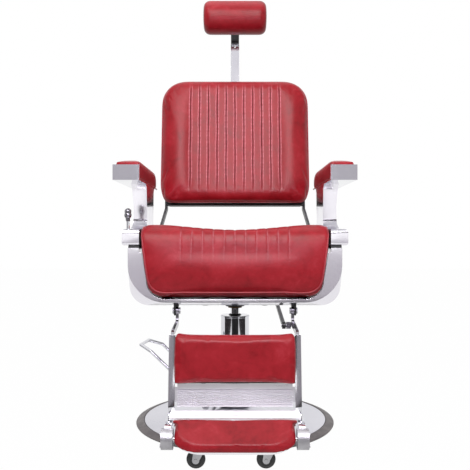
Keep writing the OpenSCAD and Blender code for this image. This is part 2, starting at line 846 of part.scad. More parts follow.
// Way down the side of the footrest: dropped from its pivot, forward to the calf pad and down it
function down_calf(d) = calf_top + d * [sin(calf_tilt), -cos(calf_tilt)];
hanger_drop = foot_pivot + [0, -34];

module hanger_path() {
    ribbon(concat([foot_pivot + [0, 2]], bend(foot_pivot, hanger_drop, down_calf(4), 16),
        bend(hanger_drop, down_calf(4), down_calf(60), 22), [down_calf(60)]), 2 * rail_half - 4);
}

// Side rail: its slotted upper end holds the hanger
module side_rail(s) {
    toe = [450, 115];
    across(s > 0 ? rail_in : -rail_out, s > 0 ? rail_out : -rail_in) difference() {
        ribbon(concat([down_calf(6)], bend(down_calf(6), down_calf(215), toe, 26, 10),
            bend(down_calf(215), toe, flip_pivot, 12), [flip_pivot]), 2 * rail_half - 2);
        translate(flip_pivot) circle(block_r + 0.05);
        translate([380, step_z]) square([90, 60]);
    }
}

module side_rail_left() {
    color("silver") difference() {
        side_rail(1);
        across(hanger_x[0], hanger_x[1]) hanger_path();
    }
}

module side_rail_right() {
    color("silver") difference() {
        side_rail(-1);
        across(-hanger_x[1], -hanger_x[0]) hanger_path();
    }
}

module hanger(x0, x1) {
    difference() {
        union() {
            across(x0, x1) translate(foot_pivot) circle(foot_eye_r);
            across(x0, x1) hanger_path();
        }
        across(x0 - 1, x1 + 1) translate(foot_pivot) circle(foot_pin_r + run);
    }
}

// Left hanger with the arm and pin that the push link works
module hanger_left() {
    pin = foot_pivot + [-crank[0], crank[1]];
    color([0.1, 0.1, 0.1]) {
        hanger(hanger_x[0], hanger_x[1]);
        across(crank_x[0], hanger_x[0]) ribbon([hanger_drop + [6, -6], pin], 13);
        across(crank_x[0], hanger_x[0]) translate(pin) circle(10);
        across(crank_x[0] - 14, crank_x[0] + 1) translate(pin) circle(5);
    }
}

module hanger_right() {
    color([0.1, 0.1, 0.1]) hanger(-hanger_x[1], -hanger_x[0]);
}

module calf_board() {
    color([0.1, 0.1, 0.1]) across(-rail_in + 0.2, rail_in - 0.2) on_calf()
        translate([board_n[0], 12]) square([board_n[1] - board_n[0], calf_len - 13]);
}

module calf_pad() {
    n0 = board_n[1] + seat_gap;
    n1 = board_n[1] + calf_t;
    r = 16;
    r_top = 22;
    color("firebrick") intersection() {
        across(-pad_half, pad_half) on_calf() polygon(concat([[n0, calf_len]], [[n0, 0]],
            arc([n1 - r_top, r_top], r_top, 270, 360, 8), arc([n1 - 8, calf_len - 8], 8, 0, 90, 5)));
        translate([0, -calf_top[0] + 60, calf_top[1] - calf_len * cos(calf_tilt)])
            along(-160, 40) round_rect([-pad_half, -60], [pad_half, calf_len + 8], 20);
    }
}

// Ribbed plate: a plain band above fine cross ribs
module kick_plate() {
    s0 = calf_len + 0.6;
    half = rail_in - 7;
    pitch = (kick_len - 15) / kick_ribs;
    color("gainsboro") {
        across(-half, half) on_calf() polygon(concat([[0, s0 + kick_len], [0, s0], [9, s0], [9, s0 + 13]],
            [for (i = [0 : kick_ribs - 1], k = [0 : 3]) [k == 1 || k == 2 ? 9 : 6,
                s0 + 14 + pitch * (i + [0.1, 0.25, 0.7, 0.85][k])]], [[6, s0 + kick_len]]));
        for (s = [-1, 1]) across(s > 0 ? half : -rail_in + 0.2, s > 0 ? rail_in - 0.2 : -half) on_calf()
            translate([0, s0 + 8]) square([3, kick_len - 20]);
    }
}

module step_plate() {
    front = 443;
    back = 381;
    color("whitesmoke") across(-(rail_out - 9), rail_out - 9)
        round_rect([back, step_z], [front, step_z + step_t], 3.5);
}

module hinge_blocks() {
    x0 = flip_half + 1.5;
    x1 = rail_out + 4.5;
    color("gainsboro") both() {
        difference() {
            across(x0, x1) translate(flip_pivot) circle(block_r);
            across(x0 - 1, x1 - 6) translate(flip_pivot) circle(trunnion_r + run);
        }
        for (a = [60, 180, 300]) across(x1, x1 + 3) translate(flip_pivot + 16 * [cos(a), sin(a)]) circle(4);
    }
}

module caster_sockets() {
    color([0.3, 0.3, 0.3]) for (x = [-1, 1])
        translate([x * caster_at[0], -caster_at[1], socket_bottom]) difference() {
        union() {
            cylinder(h = step_z - socket_bottom, r = 12);
            translate([0, 0, step_z - socket_bottom - 5]) cylinder(h = 5, r = 18);
        }
        translate([0, 0, -1]) cylinder(h = 50, r = stem_r + run);
    }
}

// ---- flip panel: t runs down its slope and m out of its padded side ----

module flip_place() {
    translate([0, -flip_pivot[0], flip_pivot[1]]) rotate([-flip_slope, 0, 0]) children();
}

// Outline of the panel on its slope: wide along its upper edge, narrow past the blocks, round below
module flip_outline(g) {
    h = flip_len / 2 - g;
    w = flip_wide - g;
    n = flip_half - g;
    rx = 62;
    ry = 36;
    half = concat([[0, h]], arc([w - 6, h - 6], 6, 90, 0, 4), [[n + 1, block_r + 5], [n, block_r - 4]],
        [for (a = [0 : 10 : 90]) [n - rx + rx * cos(a), -h + ry - ry * sin(a)]], [[0, -h]]);
    polygon(concat(half, [for (i = [len(half) - 2 : -1 : 1]) [-half[i][0], half[i][1]]]));
}

module flip_tread() {
    color("gainsboro") flip_place() {
        difference() {
            rotate([90, 0, 0]) translate([0, 0, tread_m[0]])
                linear_extrude(tread_m[1] - tread_m[0]) flip_outline(7);
            for (s = [-4 : 4]) translate([-flip_half + 18, -tread_m[0] - 1.6, s * 8 - 1.5])
                cube([2 * flip_half - 36, 3, 3]);
        }
        translate([-(rail_out - 4), 0, 0]) rotate([0, 90, 0]) cylinder(h = 2 * (rail_out - 4), r = trunnion_r);
    }
}

module flip_pad() {
    m0 = tread_m[1] + seat_gap;
    color("firebrick") flip_place() rotate([90, 0, 0]) {
        translate([0, 0, m0]) linear_extrude(flip_pad_t - 9) flip_outline(0);
        translate([0, 0, m0 + flip_pad_t - 9]) linear_extrude(5) flip_outline(3.5);
        translate([0, 0, m0 + flip_pad_t - 4]) linear_extrude(4) flip_outline(9);
    }
}

// ---- casters ----

module caster_place(side) {
    translate([side * caster_at[0], -caster_at[1], 0]) children();
}

module caster_fork() {
    inner = wheel_w / 2 + 1;
    leg = 3;
    crown_z = wheel_d + 4;
    color("gray") {
        difference() {
            union() {
                translate([0, 0, crown_z]) cylinder(h = socket_bottom - crown_z - 1, r = 16);
                for (s = [-1, 1]) translate([0, s * (inner + leg / 2) + leg / 2, 0]) rotate([90, 0, 0])
                    linear_extrude(leg) union() {
                        translate([-caster_trail, wheel_r]) circle(9);
                        polygon([[-caster_trail - 9, wheel_r], [-caster_trail + 9, wheel_r],
                            [15, crown_z + 2], [-15, crown_z + 2]]);
                    }
            }
        }
        translate([0, 0, socket_bottom - 2]) cylinder(h = 45, r = stem_r);
        translate([-caster_trail, inner + leg + 2, wheel_r]) rotate([90, 0, 0])
            cylinder(h = 2 * (inner + leg + 2), r = axle_r);
    }
}

module caster_fork_left() {
    caster_place(1) caster_fork();
}

module caster_fork_right() {
    caster_place(-1) caster_fork();
}

module caster_wheel() {
    color([0.12, 0.12, 0.12]) translate([-caster_trail, 0, wheel_r]) rotate([90, 0, 0]) rotate_extrude() polygon(concat(
        [[axle_r + run, -wheel_w / 2], [wheel_r - 8, -wheel_w / 2], [wheel_r - 7, -wheel_w / 2 + 2]],
        arc([wheel_r - 5, 0], 5, -60, 60, 8),
        [[wheel_r - 7, wheel_w / 2 - 2], [wheel_r - 8, wheel_w / 2], [axle_r + run, wheel_w / 2]]));
}

module caster_wheel_left() {
    caster_place(1) caster_wheel();
}

module caster_wheel_right() {
    caster_place(-1) caster_wheel();
}

// ---- linkage ----

// Rod from the back shaft's crank pin to the footrest's crank pin
module push_link() {
    a = [-(back_pivot[0] + crank[0]), back_pivot[1] + crank[1]];
    b = foot_pivot + [-crank[0], crank[1]];
    eye = 10;
    x0 = crank_x[0] - 2 - eye;
    color([0.12, 0.12, 0.12]) difference() {
        union() {
            across(x0, x0 + eye) ribbon([a, b], 11);
            across(x0, x0 + eye) for (p = [a, b]) translate(p) circle(10);
        }
        across(x0 - 1, x0 + eye + 1) {
            translate(a) circle(5 + run);
            translate(b) circle(5 + bolt_play);
        }
    }
}

base_plate();
base_cover();
base_rim();
pump_sleeve();
sleeve_cap();
pump_cylinder();
rod_wiper();
guide_bush();
base_bolts();
pedal_bracket();
pump_pedal();
pedal_shaft();
ram();
piston_head();
piston_seal();
swivel_bush();
seat_mount();
mount_bolts();
seat_skirt();
chassis_plate();
seat_board();
seat_cushion();
arm_gaskets();
arm_casting_left();
arm_casting_right();
arm_rail_left();
arm_rail_right();
arm_pad_left();
arm_pad_right();
back_lugs();
foot_lugs();
foot_pins();
back_shaft();
hinge_arm_left();
hinge_arm_right();
back_shell();
back_cushion();
headrest_guide();
headrest_knob();
headrest_bar();
headrest_bracket();
headrest_cushion();
lever_stem();
lever_knob();
hanger_left();
hanger_right();
side_rail_left();
side_rail_right();
calf_board();
calf_pad();
kick_plate();
step_plate();
hinge_blocks();
caster_sockets();
flip_tread();
flip_pad();
caster_fork_left();
caster_fork_right();
caster_wheel_left();
caster_wheel_right();
push_link();
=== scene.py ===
# Hydraulic barber chair: red leather over polished aluminium, chromed steel and a round floor base.
import json
import math

import bmesh
import bpy
import numpy as np
from mathutils import Matrix, Vector
from mathutils.bvhtree import BVHTree


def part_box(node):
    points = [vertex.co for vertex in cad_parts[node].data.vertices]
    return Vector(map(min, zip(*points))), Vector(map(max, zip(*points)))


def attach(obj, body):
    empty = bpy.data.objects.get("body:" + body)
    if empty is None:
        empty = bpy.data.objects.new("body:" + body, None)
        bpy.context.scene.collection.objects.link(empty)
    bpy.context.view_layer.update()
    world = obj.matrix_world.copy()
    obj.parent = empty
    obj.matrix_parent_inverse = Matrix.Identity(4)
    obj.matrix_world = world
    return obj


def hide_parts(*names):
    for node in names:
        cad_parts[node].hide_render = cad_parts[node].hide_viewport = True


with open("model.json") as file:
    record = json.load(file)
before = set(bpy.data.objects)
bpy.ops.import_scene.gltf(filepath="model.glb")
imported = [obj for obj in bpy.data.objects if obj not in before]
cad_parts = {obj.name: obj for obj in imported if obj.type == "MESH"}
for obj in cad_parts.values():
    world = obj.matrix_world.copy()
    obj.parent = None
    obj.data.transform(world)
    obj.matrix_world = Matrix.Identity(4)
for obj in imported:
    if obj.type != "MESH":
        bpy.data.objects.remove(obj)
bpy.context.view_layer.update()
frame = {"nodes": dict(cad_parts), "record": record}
scene = bpy.context.scene

MM = 0.001
SEAM_COUNT = 11
BACK_SEAM_PITCH = 31 * MM
SEAT_SEAM_PITCH = 30 * MM
BACK_LEAN = math.radians(9)
BACK_PIVOT = Vector((0, 240 * MM, 415 * MM))
CALF_LEAN = math.radians(8)
SWELL_FRAMES = 20


# ---- Finishes ----


def linear(hex_colour):
    """An sRGB hex colour as linear RGBA."""
    parts = [int(hex_colour[i : i + 2], 16) / 255 for i in (1, 3, 5)]
    return [c / 12.92 if c <= 0.04045 else ((c + 0.055) / 1.055) ** 2.4 for c in parts] + [1.0]


def add(tree, kind, **settings):
    """Adds a node. A setting is a property, an input by name, or an input by number such as in1."""
    node = tree.nodes.new("ShaderNode" + kind)
    for name, value in settings.items():
        if name == "stops":
            ramp = node.color_ramp.elements
            while len(ramp) < len(value):
                ramp.new(1.0)
            for stop, (place, colour) in zip(ramp, value):
                stop.position = place
                stop.color = linear(colour)
        elif hasattr(node, name):
            setattr(node, name, value)
        else:
            numbered = name[:2] == "in" and name[2:].isdigit()
            socket = node.inputs[int(name[2:]) if numbered else name.replace("_", " ")]
            if isinstance(value, bpy.types.NodeSocket):
                tree.links.new(value, socket)
            else:
                socket.default_value = value
    return node


def finish(name):
    """An empty material with its shader and the piece's own coordinates in metres."""
    material = bpy.data.materials.new(name)
    material.use_nodes = True
    tree = material.node_tree
    shader = tree.nodes["Principled BSDF"]
    return material, tree, shader, add(tree, "TexCoord").outputs["Object"]


def set_shader(shader, **values):
    """Sets the shader's own sockets, for what is the same all over the surface."""
    for name, value in values.items():
        shader.inputs[name.replace("_", " ")].default_value = value


def waxed_leather():
    """Waxed pull-up cowhide in oxblood red: cloudy where the wax has moved, finely pebbled, softly glossy."""
    material, tree, shader, place = finish("waxed_leather")
    # Clouds 60 mm across with flecks of 14 mm in them
    cloud = add(tree, "TexNoise", Vector=place, Scale=17.0, Detail=5.0, Roughness=0.6, Distortion=0.6)
    fleck = add(tree, "TexNoise", Vector=place, Scale=70.0, Detail=4.0, Roughness=0.65)
    both = add(tree, "Math", operation="MULTIPLY_ADD",
               in0=fleck.outputs["Fac"], in1=0.4, in2=cloud.outputs["Fac"])
    hide = add(tree, "ValToRGB", Fac=both.outputs[0],
               stops=[(0.4, "#760D16"), (0.6, "#8B141E"), (0.78, "#971823"), (0.98, "#A32833")])
    # Painted shade: the seam mark darkens the hide in the seams, the tucks and the boxing, where shade falls
    seam = add(tree, "Attribute", attribute_name="seam")
    dark = add(tree, "Mix", data_type="RGBA", blend_type="MULTIPLY",
               in0=seam.outputs["Fac"], in6=hide.outputs["Color"], in7=linear("#6E3A40"))
    # The hide goes pale where it is pulled over a fold, and the pale pink also paints the highlight that the
    # folds catch
    pull = add(tree, "Attribute", attribute_name="pull")
    pale_and_sheen = add(tree, "Mix", data_type="RGBA",
               in0=pull.outputs["Fac"], in6=dark.outputs[2], in7=linear("#F79FAC"))
    tree.links.new(pale_and_sheen.outputs[2], shader.inputs["Base Color"])
    # Pebble grain about 1.4 mm across, with the 8 mm creases that a stretched hide shows
    grain = add(tree, "TexVoronoi", Vector=place, Scale=700.0, feature="SMOOTH_F1")
    crease = add(tree, "TexNoise", Vector=place, Scale=130.0, Detail=3.0, Distortion=1.2)
    relief = add(tree, "Math", operation="MULTIPLY_ADD",
                 in0=grain.outputs["Distance"], in1=0.35, in2=crease.outputs["Fac"])
    skin = add(tree, "Bump", Height=relief.outputs[0], Strength=0.35, Distance=0.0006)
    # Stitching gathers the hide into short wrinkles across the seam, 5 mm apart
    gather = add(tree, "Attribute", attribute_name="gather")
    across = add(tree, "Mapping", Vector=place, Scale=(0.3, 1, 1))
    pleat = add(tree, "TexNoise", Vector=across.outputs[0], Scale=210.0, Detail=3.0, Distortion=0.8)
    drawn = add(tree, "Math", operation="MULTIPLY", in0=pleat.outputs["Fac"], in1=gather.outputs["Fac"])
    bump = add(tree, "Bump", Height=drawn.outputs[0], Strength=0.8, Distance=0.0016,
               Normal=skin.outputs["Normal"])
    tree.links.new(bump.outputs["Normal"], shader.inputs["Normal"])
    gloss = add(tree, "MapRange", Value=cloud.outputs["Fac"], in1=0.3, in2=0.7, in3=0.3, in4=0.4)
    tree.links.new(gloss.outputs["Result"], shader.inputs["Roughness"])
    set_shader(shader, IOR=1.4, Specular_IOR_Level=0.26, Coat_Weight=0.05, Coat_Roughness=0.25)
    return material


def polished_metal(name, light, dark, rough, scratch, lay=(1, 1, 1)):
    """Bare metal: the colour drifts a little, and hairlines from the polishing mop run along the lay.

    Real hairlines are too fine to show, so they are drawn 2.4 mm apart.
    """
    material, tree, shader, place = finish(name)
    drift = add(tree, "TexNoise", Vector=place, Scale=9.0, Detail=2.0)
    tone = add(tree, "ValToRGB", Fac=drift.outputs["Fac"], stops=[(0.3, dark), (0.7, light)])
    tree.links.new(tone.outputs["Color"], shader.inputs["Base Color"])
    along = add(tree, "Mapping", Vector=place, Scale=lay)
    line = add(tree, "TexNoise", Vector=along.outputs[0], Scale=420.0, Detail=4.0, Roughness=0.6)
    bump = add(tree, "Bump", Height=line.outputs["Fac"], Strength=scratch, Distance=0.0002)
    tree.links.new(bump.outputs["Normal"], shader.inputs["Normal"])
    gloss = add(tree, "MapRange", Value=line.outputs["Fac"],
                in1=0.3, in2=0.7, in3=rough * 0.75, in4=rough * 1.3)
    tree.links.new(gloss.outputs["Result"], shader.inputs["Roughness"])
    set_shader(shader, Metallic=1.0)
    return material


def spun_steel():
    """Stainless sheet spun over a former: rings about the middle spread each light into a fan.

    The tool's real rings are too fine to show, so they are drawn 2 mm apart.
    """
    material, tree, shader, place = finish("spun_stainless")
    ring = add(tree, "TexWave", Vector=place, wave_type="RINGS", rings_direction="Z",
               Scale=160.0, Distortion=1.5, Detail=2.0)
    drift = add(tree, "TexNoise", Vector=place, Scale=5.0, Detail=3.0)
    tone = add(tree, "ValToRGB", Fac=drift.outputs["Fac"], stops=[(0.3, "#C9C8D0"), (0.7, "#D8D7DE")])
    tree.links.new(tone.outputs["Color"], shader.inputs["Base Color"])
    bump = add(tree, "Bump", Height=ring.outputs["Fac"], Strength=0.12, Distance=0.0002)
    tree.links.new(bump.outputs["Normal"], shader.inputs["Normal"])
    gloss = add(tree, "MapRange", Value=drift.outputs["Fac"], in1=0.3, in2=0.7, in3=0.24, in4=0.34)
    tree.links.new(gloss.outputs["Result"], shader.inputs["Roughness"])
    set_shader(shader, Metallic=1.0)
    return material


def rubbed(name, base, worn, rough, grain, depth, metallic=0.0):
    """A dull skin such as paint, rubber or moulded plastic, with paler patches 30 mm across where it is worn.

    Its grain has that many cells a metre and is depth metres deep.
    """
    material, tree, shader, place = finish(name)
    cloud = add(tree, "TexNoise", Vector=place, Scale=30.0, Detail=4.0, Roughness=0.6)
    tone = add(tree, "ValToRGB", Fac=cloud.outputs["Fac"], stops=[(0.35, base), (0.8, worn)])
    tree.links.new(tone.outputs["Color"], shader.inputs["Base Color"])
    cell = add(tree, "TexNoise", Vector=place, Scale=grain, Detail=2.0, Roughness=0.5)
    bump = add(tree, "Bump", Height=cell.outputs["Fac"], Strength=0.4, Distance=depth)
    tree.links.new(bump.outputs["Normal"], shader.inputs["Normal"])
    gloss = add(tree, "MapRange", Value=cloud.outputs["Fac"], in1=0.3, in2=0.8, in3=rough, in4=rough * 0.8)
    tree.links.new(gloss.outputs["Result"], shader.inputs["Roughness"])
    set_shader(shader, Metallic=metallic, IOR=1.5)
    return material


def birch_plywood():
    """Birch plywood: 1.4 mm plies show as stripes on the edges, with long grain on the faces."""
    material, tree, shader, place = finish("birch_plywood")
    ply = add(tree, "TexWave", Vector=place, bands_direction="Z", Scale=112.0, Distortion=0.3)
    stretched = add(tree, "Mapping", Vector=place, Scale=(2.0, 40.0, 40.0))
    figure = add(tree, "TexNoise", Vector=stretched.outputs[0], Scale=4.0, Detail=5.0, Distortion=0.8)
    mixed = add(tree, "Math", operation="MULTIPLY_ADD",
                in0=ply.outputs["Fac"], in1=0.35, in2=figure.outputs["Fac"])
    tone = add(tree, "ValToRGB", Fac=mixed.outputs[0], stops=[(0.3, "#A8834F"), (0.9, "#D3B487")])
    tree.links.new(tone.outputs["Color"], shader.inputs["Base Color"])
    bump = add(tree, "Bump", Height=figure.outputs["Fac"], Strength=0.3, Distance=0.0003)
    tree.links.new(bump.outputs["Normal"], shader.inputs["Normal"])
    set_shader(shader, Roughness=0.6)
    return material


# The finish of each material slot in the record
FINISHES = {
    # Sand cast and never polished: dark and dull, with 4 mm lumps
    "cast_iron": rubbed("cast_iron", "#2E2D2E", "#454344", 0.7, 260.0, 0.0006),
    "polished_cover": spun_steel(),
    # Grey rubber with a 2 mm mottle from the die
    "floor_rubber": rubbed("extruded_rubber", "#5C5658", "#77706F", 0.55, 500.0, 0.0002),
    # Plated over polished steel: a clear mirror
    "chrome": polished_metal("chrome_plate", "#DCDCE0", "#CFCFD4", 0.07, 0.03),
    # Barrel plated: grey and hazy
    "plain_steel": polished_metal("zinc_plated_steel", "#B4B4B6", "#8E8E92", 0.3, 0.15),
    # Moulded, nearly black, with a 1.4 mm mottle
    "seal_rubber": rubbed("nitrile_rubber", "#1B1B1C", "#2A2A2B", 0.5, 700.0, 0.0001),
    # Turned and oiled: brown and half dull
    "bronze": polished_metal("oiled_bronze", "#5E4A36", "#3A2E24", 0.35, 0.2),
    # Baked powder: a satin black skin that ripples every 1.1 mm
    "black_paint": rubbed("powder_coat_black", "#111112", "#1E1E20", 0.4, 900.0, 0.0002),
    # Buffed castings: a bright mirror with a slight haze
    "polished_aluminium": polished_metal("polished_aluminium", "#EAE8ED", "#E2DFE6", 0.13, 0.05),
    # Brushed from side to side, which draws each light out upright
    "satin_aluminium": polished_metal("brushed_aluminium", "#F0EEF1", "#E6E4E8", 0.2, 0.03, (0.02, 1, 1)),
    "plywood": birch_plywood(),
    # Embossed vinyl on board, with a 1.2 mm grain
    "black_board": rubbed("black_vinyl", "#131314", "#202021", 0.5, 800.0, 0.0003),
    "red_leather": waxed_leather(),
    # Moulded nylon, black, with a 0.9 mm grain
    "black_plastic": rubbed("moulded_nylon", "#161617", "#242425", 0.42, 1100.0, 0.0001),
    # Cast polyurethane, black, with a 1.7 mm mottle
    "caster_tyre": rubbed("polyurethane_tyre", "#1A1A1C", "#2B2B2D", 0.5, 600.0, 0.0001),
}

# Metal pieces whose surface differs from the rest of their slot
OWN_FINISH = {
    # A darker and hazier copy of the chrome, which paints the shade these parts show
    "hanger_left": polished_metal("shaded_chrome", "#8A888D", "#6C6A70", 0.16, 0.08),
    # Drawn through a die whose lines blur what it mirrors
    "kick_plate": polished_metal("extruded_aluminium", "#E4E2E7", "#DAD8DD", 0.34, 0.03, (0.02, 1, 1)),
    # Blasted with grit: matt and nearly white, with 1.1 mm pits
    "step_plate": rubbed("blasted_aluminium", "#F6F4F7", "#FBFAFB", 0.6, 900.0, 0.0002, metallic=1.0),
    # Left as cast: grey, with 2.4 mm lumps
    "hinge_blocks": rubbed("cast_aluminium", "#9A989C", "#B6B4B8", 0.42, 420.0, 0.0012, metallic=1.0),
}
# The right hanger and the lever knob get the same shaded copy of the chrome
OWN_FINISH["hanger_right"] = OWN_FINISH["lever_knob"] = OWN_FINISH["hanger_left"]


def dress(piece, slot):
    """Gives a new piece the finish of a material slot."""
    piece.data.materials.clear()
    piece.data.materials.append(FINISHES[slot])


for part in frame["record"]["subparts"]:
    node = frame["nodes"][part["node"]]
    node.data.materials.clear()
    node.data.materials.append(OWN_FINISH.get(part["node"]) or FINISHES[part["material_slot"]])


# ---- Rounded edges ----

# Widths of the rounded edges in millimetres, where they aren't PLAIN_EDGE
PLAIN_EDGE = 0.5
EDGE_WIDTH = {
    "arm_casting_left": 3.0,
    "arm_casting_right": 3.0,
    "hinge_blocks": 2.0,
    "base_rim": 1.5,
    "seat_skirt": 1.2,
    "arm_rail_left": 1.2,
    "arm_rail_right": 1.2,
    "step_plate": 1.0,
    "caster_sockets": 1.0,
    "kick_plate": 0.15,
}
SHARP_ANGLE = math.radians(32)


def soften_edges(node, width):
    """Joins the vertices that the file keeps apart, then rounds the edges and lets the flats shade flat."""
    mesh = node.data
    if "custom_normal" in mesh.attributes:
        mesh.attributes.remove(mesh.attributes["custom_normal"])
    mesh.shade_smooth()
    weld = node.modifiers.new("join", "WELD")
    weld.merge_threshold = 0.01 * MM
    edge = node.modifiers.new("edge", "BEVEL")
    edge.width = width * MM
    edge.segments = 2
    edge.limit_method = "ANGLE"
    edge.angle_limit = SHARP_ANGLE
    edge.use_clamp_overlap = True
    node.modifiers.new("flats", "WEIGHTED_NORMAL").keep_sharp = False


for name, node in frame["nodes"].items():
    soften_edges(node, EDGE_WIDTH.get(name, PLAIN_EDGE))


# ---- Building tools ----


def new_piece(name, mesh, slot, body):
    """A piece of the visual model that rides on a body."""
    piece = bpy.data.objects.new(name, mesh)
    scene.collection.objects.link(piece)
    dress(piece, slot)
    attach(piece, body)
    return piece


def coords(mesh):
    """The places of a mesh's vertices, one row each."""
    flat = np.empty(len(mesh.vertices) * 3)
    mesh.vertices.foreach_get("co", flat)
    return flat.reshape(-1, 3)


def set_coords(mesh, points):
    """Moves a mesh's vertices to the places in points."""
    mesh.vertices.foreach_set("co", np.ascontiguousarray(points).ravel())
    mesh.update()


def normals(mesh):
    """The outward direction at each vertex."""
    flat = np.empty(len(mesh.vertices) * 3)
    mesh.vertex_normals.foreach_get("vector", flat)
    return flat.reshape(-1, 3)


def bake_modifiers(piece):
    """Swaps the mesh for what its modifiers make of it."""
    bpy.context.view_layer.update()
    mesh = bpy.data.meshes.new_from_object(piece.evaluated_get(bpy.context.evaluated_depsgraph_get()))
    piece.modifiers.clear()
    piece.data = mesh


def smoothstep(low, high, value):
    """Rises smoothly from 0 at low to 1 at high, which may be the smaller of the two."""
    t = np.clip((value - low) / (high - low), 0.0, 1.0)
    return t * t * (3 - 2 * t)


def in_frame(points, matrix):
    """Points in a leaning part's own directions."""
    inverse = np.array(matrix.inverted())
    return points @ inverse[:3, :3].T + inverse[:3, 3]


BACK = Matrix.Translation(BACK_PIVOT) @ Matrix.Rotation(-BACK_LEAN, 4, "X")


# ---- Foam and leather ----

JOIN_DIST = 0.02 * MM
# How far from a seam the skin is cut, and how far off the faces that are cut may lie
SCORE_HALF, SCORE_REACH = 1.6 * MM, 9 * MM
# Widths in millimetres of the painted shade in a seam, the pale folds with their painted highlight, and the
# wrinkles along a seam
STITCH_WIDTH, FOLD_WIDTH, GATHER_WIDTH = 1.3, 1.5, 7
# A line of stitching holds the hide down this far to each side, and a welt holds it this firmly
STITCH_HALF = 3 * MM
WELT_HOLD = 0.9
# Piping is laid with a point every so many millimetres, and is painted a little pale as a highlight
WELT_STEP = 8
WELT_SHEEN = 0.1


def foam_block(name, node, body, inset, voxel):
    """The foam: the pad's solid drawn in a little and skinned with small even faces."""
    mesh = frame["nodes"][node].data.copy()
    work = bmesh.new()
    work.from_mesh(mesh)
    bmesh.ops.remove_doubles(work, verts=work.verts, dist=JOIN_DIST)
    work.to_mesh(mesh)
    work.free()
    piece = new_piece(name, mesh, "red_leather", body)
    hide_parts(node)
    skin = piece.modifiers.new("skin", "REMESH")
    skin.mode = "VOXEL"
    skin.voxel_size = voxel * MM
    even = piece.modifiers.new("even", "SMOOTH")
    even.factor = 0.5
    even.iterations = 12
    draw_in = piece.modifiers.new("draw_in", "DISPLACE")
    draw_in.mid_level = 0.0
    draw_in.strength = -inset * MM
    bake_modifiers(piece)
    return piece


def stuff(piece, held, cap, pressure=4.0):
    """Air pressure swells the leather by up to cap millimetres, and less the nearer held() is to 1."""
    start = coords(piece.data)
    grip = np.round(held(start), 1)
    group = piece.vertex_groups.new(name="held")
    for level in np.unique(grip):
        if level > 0:
            group.add(np.flatnonzero(grip == level).tolist(), float(level), "REPLACE")
    cloth = piece.modifiers.new("cloth", "CLOTH")
    rules = cloth.settings
    rules.use_pressure = True
    rules.uniform_pressure_force = pressure
    rules.vertex_group_mass = "held"
    rules.effector_weights.gravity = 0.0
    cloth.point_cache.frame_end = SWELL_FRAMES
    for step in range(1, SWELL_FRAMES + 1):
        scene.frame_set(step)
    bake_modifiers(piece)
    moved = coords(piece.data) - start
    length = np.linalg.norm(moved, axis=1, keepdims=True)
    set_coords(piece.data, start + moved * np.minimum(1.0, cap * MM / np.maximum(length, 1e-9)))
    scene.frame_set(1)
    piece.vertex_groups.clear()
    fine = piece.modifiers.new("fine", "SUBSURF")
    fine.levels = 1
    fine.render_levels = 1
    bake_modifiers(piece)


def score(piece, places, faces_in):
    """Cuts edge lines along each seam and beside it, so that the stitched valley is crisp."""
    work = bmesh.new()
    work.from_mesh(piece.data)
    for place in places:
        for side in (-SCORE_HALF, 0.0, SCORE_HALF):
            near = [f for f in work.faces
                    if abs(f.calc_center_median().x - place) < SCORE_REACH and faces_in(f)]
            parts = set(near)
            for face in near:
                parts.update(face.edges)
                parts.update(face.verts)
            bmesh.ops.bisect_plane(work, geom=list(parts), plane_co=(place + side, 0, 0),
                                   plane_no=(1, 0, 0), dist=0.05 * MM)
    work.to_mesh(piece.data)
    work.free()


def ridge(off, width):
    """A smooth ridge along a line: 1 on it, and near 0 from twice its width in millimetres."""
    return np.exp(-((off / (width * MM)) ** 2))


def sew_channels(piece, places, reach, depth, width, seam_shade, pull, fold):
    """Sinks each seam into the foam by depth millimetres, and marks how the hide lies there.

    It paints shade into the seam, the hide gathers beside it, and folds that stand fold millimetres off it
    are painted pale here and there, partly as pulled wax and partly as highlight. The waves are in radians a
    metre: a seam wanders half a millimetre every 150 mm and puckers every 21 mm, and the painted highlight on
    its folds comes and goes every 15 mm. The count shifts the waves, so that no two seams are alike.
    """
    points = coords(piece.data)
    out = normals(piece.data)
    span = reach(points, out)
    sink = np.zeros(len(points))
    mark = np.zeros(len(points))
    gather = np.zeros(len(points))
    folds = np.zeros(len(points))
    along_x, along_y, height = points.T
    for count, place in enumerate(places):
        off = np.abs(along_x - place - 0.5 * MM * np.sin(height * 41 + count * 2.1))
        tuck = np.sin(height * 300 + count * 1.7) * np.sin(height * 97 + along_y * 130 + count)
        pucker = 1.0 + 0.22 * tuck
        shine = np.sin(height * 410 + count * 2.9) * np.sin(height * 151 + along_x * 900 + count)
        glint = 0.72 + 0.28 * shine
        sink = np.maximum(sink, ridge(off, width) * pucker)
        mark = np.maximum(mark, ridge(off, STITCH_WIDTH))
        gather = np.maximum(gather, ridge(off, GATHER_WIDTH))
        folds = np.maximum(folds, ridge(off - fold * MM, FOLD_WIDTH) * glint)
    set_coords(piece.data, points - out * (sink * span * depth * MM)[:, None])
    # The seam mark is painted shade, and the fold mark is a pale pink that is partly painted highlight
    for name, value in (("seam", mark * seam_shade), ("gather", gather), ("pull", folds * pull)):
        layer = piece.data.attributes.new(name, "FLOAT", "POINT")
        layer.data.foreach_set("value", (value * span).astype(np.float32))


def remark(piece, name, change):
    """Rewrites one of a pad's marks, given its old values and the places of its points."""
    layer = piece.data.attributes[name].data
    marks = np.empty(len(layer), np.float32)
    layer.foreach_get("value", marks)
    layer.foreach_set("value", change(marks, coords(piece.data)).astype(np.float32))


